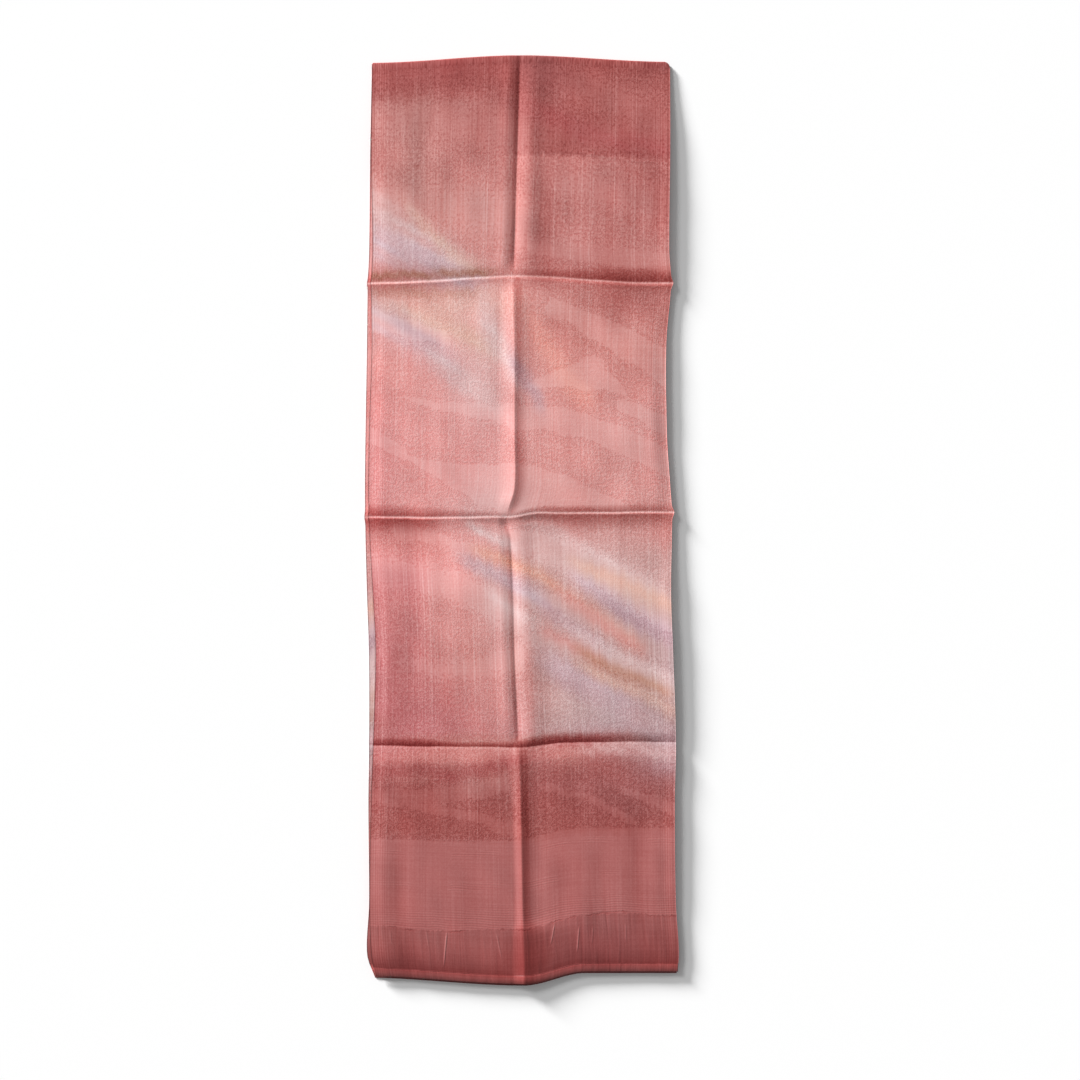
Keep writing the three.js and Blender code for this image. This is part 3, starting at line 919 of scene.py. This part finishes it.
def bend_rows(across):
    """Outer and inner rows round the fold, from the back leaf up to the front leaf: a flat run
    behind half an ellipse as high as the fold is there."""
    q = np.full_like(across, BEND / PANEL)
    x, y = plan(across, q, False)
    crown = front_top(across, q)
    middle = crown / 2
    edge = plan(across, np.zeros_like(across), False)[1]
    depth = np.minimum(middle * 1.5, (edge - y) * 0.9)
    angle = np.linspace(-math.pi / 2, math.pi / 2, BEND_STEPS + 1)[:, None]
    rows = []
    for wall in (0, SILK):
        bend_y = edge - depth + (depth - wall) * np.cos(angle)
        bend_z = middle + (middle - wall) * np.sin(angle)
        start = np.stack([x, y, 0 * x + wall], -1)[None]
        rows.append(np.concatenate([start, np.stack([x + 0 * angle, bend_y, bend_z], -1)])[:-1])
    return rows


def make_front():
    """The front leaf with the bend at its top, as one sheet."""
    p, q = np.meshgrid(ACROSS, ALONG)
    x, y = plan(p, q, False)
    leaf = np.stack([x, y, front_top(p, q)], -1)
    bend, bend_inner = bend_rows(ACROSS)
    outer = np.concatenate([bend, leaf])
    inner = np.concatenate([bend_inner, below(leaf, SILK)])
    steps = np.linspace(-BEND, BEND, len(bend) + 1)[:-1]
    v = np.concatenate([np.broadcast_to(steps[:, None], (len(bend), len(ACROSS))), q * PANEL])
    if len(v) % 2 == 0:
        raise ValueError("the front leaf needs an odd number of rows")
    u = np.broadcast_to(ACROSS * HALF, v.shape)
    return shell("front_cloth", outer, inner, u, v)


def make_back():
    """The back leaf, flat where it lies on the table."""
    p, q = np.meshgrid(BACK_ACROSS, BACK_ALONG)
    x, y = plan(p, q, True)
    under = np.stack([x, y, back_rise(p, q)], -1)
    upper = under + np.array([0, 0, SILK])
    return shell("back_cloth", upper, under, p * HALF, q * PANEL, turned=True)


def make_hem(name, start, end, slipped, low):
    """A turned-up hem: a flat oval section, with cosine and sine raised to powers below one,
    carried along the open end, with fine puckers. start and end are distances back from the end
    of the cloth, and low gives the height of the underside."""
    p = stations(-HALF, HALF, EDGES, 0.7, 1.5, 2, 10) / HALF
    turn = np.linspace(0, 2 * math.pi, 21)
    middle, half = (start + end) / 2, (start - end) / 2
    cosine, sine = np.cos(turn), np.sin(turn)
    oval_along = middle - half * np.sign(cosine) * np.abs(cosine) ** 0.6
    oval_up = np.sign(sine) * np.abs(sine) ** 0.8
    pp, along = np.meshgrid(p, oval_along)
    q = (LENGTH - along) / PANEL
    pucker = 0.04 * waves(pp * HALF, along, 41, 8, 9, 40) * np.maximum(oval_up, 0)[:, None]
    x, y = plan(pp, q, slipped)
    base = low(pp, np.full_like(pp, (LENGTH - middle) / PANEL))
    z = base + HEM_WALL * (0.5 + 0.5 * oval_up[:, None]) + pucker
    return tube(name, np.stack([x, y, z], -1), pp * HALF, LENGTH - along, turned=slipped)


def tube(name, rings, u, v, turned):
    """A tube through a grid of points whose last row repeats its first, with its ends filled
    between their upper and lower sides."""
    rows, columns = u.shape
    rings, u, v = rings[:-1], u[:-1], v[:-1]
    count = (rows - 1) * columns
    number = np.arange(count).reshape(rows - 1, columns)
    ring = np.concatenate([number, number[:1]])
    a, b = ring[:-1, :-1], ring[1:, :-1]
    c, d = ring[1:, 1:], ring[:-1, 1:]
    side = np.stack([a, b, c, d], -1).reshape(-1, 4)
    half = (rows - 1) // 2
    caps = []
    for column, flip in ((0, False), (columns - 1, True)):
        loop = number[:, column]
        upper, lower = loop[: half + 1], np.concatenate([loop[:1], loop[half:][::-1]])
        caps.append(strip_quads(upper, lower)[:, ::-1] if flip else strip_quads(upper, lower))
    across = (u - u.min()) / (u.max() - u.min())
    round_share = np.arange(rows) / (rows - 1)
    i, j = np.meshgrid(np.arange(rows - 1), np.arange(columns - 1), indexing="ij")
    run0, run1 = across[0, j], across[0, j + 1]
    r0, r1 = round_share[i], round_share[i + 1]
    corner = np.stack([run0, r0, run0, r1, run1, r1, run1, r0], -1)
    uv = [corner.reshape(-1, 4, 2) * (0.98, 0.80) + (0.01, 0.01)]
    for k, cap in enumerate(caps):
        spot = rings.reshape(-1, 3)[cap][..., 1:]
        spot = (spot - spot.min((0, 1))) / np.ptp(spot.reshape(-1, 2), axis=0)
        uv.append(spot * (0.2, 0.08) + (0.05 + 0.4 * k, 0.86))
    points = rings.reshape(-1, 3)
    return new_mesh_object(name, points, [side, *caps], uv, u.ravel(), v.ravel(), turned, figured=False)


# ---- materials ------------------------------------------------------------------------------

SELVEDGE = (0.129, 0.134)                   # metres from the crease over which its cords set in
CORD_RATE = 2750.0                          # cords of the selvedge, in radians per metre
PICK_RATE = 2700.0                          # wavy weft threads, in radians per metre
WRINKLE_HALF = 1.3                          # half width of a sharp wrinkle, in millimetres

# Groups of wavy weft threads in the end band, in millimetres: how far before the border, half
# length within which they show in full and past which not at all, and strength
PICK_GROUPS = (
    (41.0, 2.0, 6.0, 1.0),
    (72.0, 1.5, 4.5, 0.8),
)


class Nodes:
    """A short way to write a material's nodes."""

    def __init__(self, name):
        self.material = bpy.data.materials.new(name)
        self.material.use_nodes = True
        self.tree = self.material.node_tree
        self.tree.nodes.clear()

    def add(self, kind, inputs=None, **settings):
        """A node with its settings, and each input joined to a socket or given a value."""
        node = self.tree.nodes.new(kind)
        for key, value in settings.items():
            setattr(node, key, value)
        for key, value in (inputs or {}).items():
            socket = node.inputs[key]
            if isinstance(value, bpy.types.NodeSocket):
                self.tree.links.new(value, socket)
            else:
                socket.default_value = value
        return node

    def attribute(self, name, output):
        """What the mesh says at the point under a name."""
        return self.add("ShaderNodeAttribute", attribute_name=name).outputs[output]

    def math(self, operation, a, b=0.0, c=0.0):
        """A sum on up to three values."""
        return self.add("ShaderNodeMath", {0: a, 1: b, 2: c}, operation=operation).outputs[0]

    def total(self, start, *terms):
        """A start value plus each part times its share."""
        for part, share in terms:
            start = self.math("MULTIPLY_ADD", part, share, start)
        return start

    def centred(self, value):
        """A value from 0 to 1 moved to run from -0.5 to 0.5."""
        return self.math("SUBTRACT", value, 0.5)

    def noise(self, vector, scale, detail=0.0, roughness=0.5, distortion=0.0):
        """Noise with so many lumps per metre in each direction."""
        inputs = {
            "Vector": self.add("ShaderNodeMapping", {"Vector": vector, "Scale": scale}).outputs[0],
            "Scale": 1.0,
            "Detail": detail,
            "Roughness": roughness,
            "Distortion": distortion,
        }
        return self.add("ShaderNodeTexNoise", inputs).outputs["Fac"]

    def ramp(self, value, low, high, to_low=0.0, to_high=1.0):
        """A smooth step between two values."""
        inputs = {"Value": value, "From Min": low, "From Max": high, "To Min": to_low, "To Max": to_high}
        return self.add("ShaderNodeMapRange", inputs, interpolation_type="SMOOTHSTEP").outputs[0]

    def near(self, value, inner, outer, strength=1.0):
        """The strength within inner of nought, and none past outer."""
        return self.ramp(self.math("ABSOLUTE", value), inner, outer, strength, 0.0)

    def shaded(self, colour, factor):
        """A colour times a factor near 1. Sockets 6 and 7 are the Mix node's two colours."""
        grey = self.add("ShaderNodeCombineColor", {"Red": factor, "Green": factor, "Blue": factor})
        inputs = {0: 1.0, 6: colour, 7: grey.outputs[0]}
        return self.add("ShaderNodeMix", inputs, data_type="RGBA", blend_type="MULTIPLY").outputs[2]


def wrinkle_lines(n, across, along):
    """The sharp wrinkles, for their bump and their painted highlight: each a smooth step down from its
    slanted line, faded along its length.
    """
    lines = 0.0
    for u, v, slant, long, strength in WRINKLES:
        past = n.math("SUBTRACT", along, v * MM)
        off = n.math("SUBTRACT", n.math("MULTIPLY_ADD", past, -slant, across), u * MM)
        fade = n.near(past, 0.5 * long * MM, long * MM, strength)
        lines = n.math("MULTIPLY_ADD", n.near(off, 0.0, WRINKLE_HALF * MM), fade, lines)
    return lines


def wavy_picks(n, along, border, border_part, patch):
    """The weft threads that wave: a sine along, bent by the patches, in the broken groups of the
    end band and just before the border."""
    groups = 0.0
    for before, inner, outer, strength in PICK_GROUPS:
        group = n.near(n.math("ADD", border, before), inner, outer, strength)
        groups = n.math("ADD", group, groups)
    groups = n.math("MULTIPLY", groups, n.ramp(patch, 0.44, 0.60))
    last = n.math("SUBTRACT", n.ramp(border, -30.0, -9.0), border_part)
    wave = n.math("SINE", n.math("MULTIPLY_ADD", patch, 14.0, n.math("MULTIPLY", along, PICK_RATE)))
    return n.math("MULTIPLY", wave, n.math("ADD", groups, last))


def silk(name, sheen=0.10):
    """Figured silk crepe: the dye with its painted shade from the points, made fuller or thinner by
    the crepe grain outside the satin figure, the warp and weft ribs, the corded selvedges, the
    patches, and the border's seam, puckers and wrinkles, which also raise it, the wrinkles lighter as
    a painted highlight; and a soft sheen."""
    n = Nodes(name)
    cut = n.attribute("cut", "Vector")
    stream = n.attribute("satin", "Fac")
    border = n.attribute("border", "Fac")
    place = n.add("ShaderNodeSeparateXYZ", {0: cut})
    across, along = place.outputs[0], place.outputs[1]

    fleck = n.noise(cut, (600, 500, 1), 1.5, 0.6, 1.2)
    warp = n.noise(cut, (640, 9, 1))
    weft = n.noise(cut, (12, 600, 1))
    loose = n.noise(cut, (90, 11, 1), 1.0)
    patch = n.noise(cut, (26, 17, 1), 2.0)
    reed = n.ramp(n.noise(cut, (500, 2.5, 1)), 0.64, 0.74)
    pucker = n.noise(cut, (190, 16, 1), 1.5, 0.5, 0.6)
    uneven = n.centred(n.noise(cut, (420, 300, 1)))

    smooth_part = n.ramp(n.total(stream, (uneven, 4.0)), -0.6, 0.6)
    border_part = n.ramp(n.total(border, (uneven, 4.0)), -0.7, 0.7)
    end_part = n.ramp(border, -90.0, -80.0)
    towards_end = n.ramp(border, 2.0, 38.0)
    seam_off = n.total(border, (n.centred(patch), 7.0), (uneven, 3.0))
    seam = n.math("MULTIPLY", n.near(seam_off, 0.0, 1.3), n.ramp(loose, 0.40, 0.62))
    pucker_part = n.math("MULTIPLY", n.centred(pucker), border_part)
    wavy_part = wavy_picks(n, along, border, border_part, patch)
    crepe = n.total(1.0, (smooth_part, -0.62), (end_part, -0.18))
    fleck_part = n.math("MULTIPLY", n.centred(n.ramp(fleck, 0.36, 0.64)), crepe)
    openness = n.math("MULTIPLY", n.ramp(loose, 0.35, 0.65, 0.4, 1.3), n.ramp(end_part, 0.0, 1.0, 1.3, 0.75))
    warp_part = n.math("MULTIPLY", n.centred(n.ramp(warp, 0.3, 0.7)), openness)
    weft_part = n.centred(n.ramp(weft, 0.3, 0.7))
    reed_part = n.math("MULTIPLY", reed, n.math("SUBTRACT", 1.0, end_part))
    patchy = n.math("MULTIPLY", n.centred(patch), n.total(1.0, (end_part, -0.5)))
    side = n.ramp(n.math("ABSOLUTE", across), *SELVEDGE)
    cord = n.math("MULTIPLY", n.math("SINE", n.math("MULTIPLY", across, CORD_RATE)), side)
    wrinkle = wrinkle_lines(n, across, along)

    fuller = n.total(
        1.01,
        (fleck_part, -0.33),
        (warp_part, -0.085),
        (weft_part, -0.04),
        (reed_part, -0.12),
        (cord, -0.06),
        (patchy, -0.30),
        (smooth_part, -0.12),
        (pucker_part, -0.22),
        (wavy_part, -0.04),
        # Lighter along the wrinkles: a painted highlight.
        (wrinkle, -0.30),
        (border_part, 0.05),
        (end_part, 0.04),
        (seam, 0.20),
        (towards_end, 0.18),
    )
    height = n.total(
        0.0,
        (warp_part, 0.2),
        (fleck_part, 1.2),
        (weft_part, 0.1),
        (cord, 0.15),
        (wavy_part, 0.35),
        (pucker_part, 4.6),
        (wrinkle, 4.0),
        (seam, -1.5),
    )
    # The dye attribute carries painted shade and highlights.
    deep = n.add("ShaderNodeGamma", {"Color": n.attribute("dye", "Color"), "Gamma": fuller}).outputs[0]
    factor = n.total(1.0, (border_part, -0.12), (smooth_part, 0.02))
    bump = n.add("ShaderNodeBump", {"Height": height, "Strength": 0.5, "Distance": 0.00012})
    shader = n.add("ShaderNodeBsdfPrincipled", {
        "Base Color": n.shaded(deep, factor),
        "Roughness": n.ramp(smooth_part, 0.0, 1.0, 0.62, 0.50),
        "Specular IOR Level": 0.3,
        "Sheen Weight": sheen,
        "Sheen Roughness": 0.45,
        "Sheen Tint": (1.0, 0.86, 0.84, 1.0),
        "Normal": bump.outputs[0],
    })
    n.add("ShaderNodeOutputMaterial", {"Surface": shader.outputs[0]})
    return n.material


def floor_paper():
    """Plain pale floor."""
    n = Nodes("floor_paper")
    shader = n.add("ShaderNodeBsdfPrincipled", {
        "Base Color": (0.97, 0.97, 0.97, 1),
        "Roughness": 0.9,
        "Specular IOR Level": 0.1,
    })
    n.add("ShaderNodeOutputMaterial", {"Surface": shader.outputs[0]})
    return n.material


# ---- the pieces -----------------------------------------------------------------------------

front_cloth = make_front()
back_cloth = make_back()
front_hem = make_hem("front_hem_band", FRONT_SHORT + HEM_WIDTH, FRONT_SHORT, False, front_hem_base)
back_hem = make_hem("back_hem_band", HEM_WIDTH, 0.0, True, back_hem_base)

cloth_silk = silk("figured_silk")
hem_silk = silk("hem_silk", 0.08)
for piece in (front_cloth, back_cloth):
    piece.data.materials.append(cloth_silk)
for piece in (front_hem, back_hem):
    piece.data.materials.append(hem_silk)
for piece in (front_cloth, back_cloth, front_hem, back_hem):
    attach(piece, "root")

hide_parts("front_leaf", "top_fold")
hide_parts("back_leaf")
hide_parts("front_hem")
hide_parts("back_hem")

# ---- studio, in metres ----------------------------------------------------------------------

FLOOR_HALF = 30.0
FLOOR_Z = -0.0002
floor_corners = [(x * FLOOR_HALF, y * FLOOR_HALF, FLOOR_Z) for x, y in ((-1, -1), (1, -1), (1, 1), (-1, 1))]
floor_mesh = bpy.data.meshes.new("floor")
floor_mesh.from_pydata(floor_corners, [], [(0, 1, 2, 3)])
floor = bpy.data.objects.new("floor", floor_mesh)
bpy.context.scene.collection.objects.link(floor)
floor_mesh.materials.append(floor_paper())

AIM = Vector((0.0185, -0.0248, 0.004))
ELEVATION = math.radians(86)
CAMERA_DISTANCE = 2.53
VIEW_WIDTH = 1.0465                         # what the view spans at that distance
SENSOR_WIDTH = 36
camera_data = bpy.data.cameras.new("camera")
camera_data.sensor_width = SENSOR_WIDTH
camera_data.lens = SENSOR_WIDTH * CAMERA_DISTANCE / VIEW_WIDTH
camera = bpy.data.objects.new("camera", camera_data)
bpy.context.scene.collection.objects.link(camera)
camera.location = AIM + CAMERA_DISTANCE * Vector((0, -math.cos(ELEVATION), math.sin(ELEVATION)))
camera.rotation_euler = (math.pi / 2 - ELEVATION, 0, 0)
bpy.context.scene.camera = camera

# Two soft lights from the far left: name, elevation, energy and how wide it looks, in degrees
LIGHT_AZIMUTH = math.radians(137)
SOFTBOXES = (
    ("high_softbox", 30, 1.1, 16),
    ("low_softbox", 12, 8.5, 11),
)
for name, elevation, energy, angle in SOFTBOXES:
    light_data = bpy.data.lights.new(name, "SUN")
    light_data.energy = energy
    light_data.angle = math.radians(angle)
    light = bpy.data.objects.new(name, light_data)
    bpy.context.scene.collection.objects.link(light)
    toward = Vector((math.cos(LIGHT_AZIMUTH), math.sin(LIGHT_AZIMUTH), math.tan(math.radians(elevation))))
    light.rotation_euler = toward.to_track_quat("Z", "Y").to_euler()

world = bpy.data.worlds.new("studio")
bpy.context.scene.world = world
world.use_nodes = True
world.node_tree.nodes["Background"].inputs["Color"].default_value = (1.0, 1.0, 1.0, 1)
world.node_tree.nodes["Background"].inputs["Strength"].default_value = 0.29
bpy.context.scene.view_settings.view_transform = "Standard"
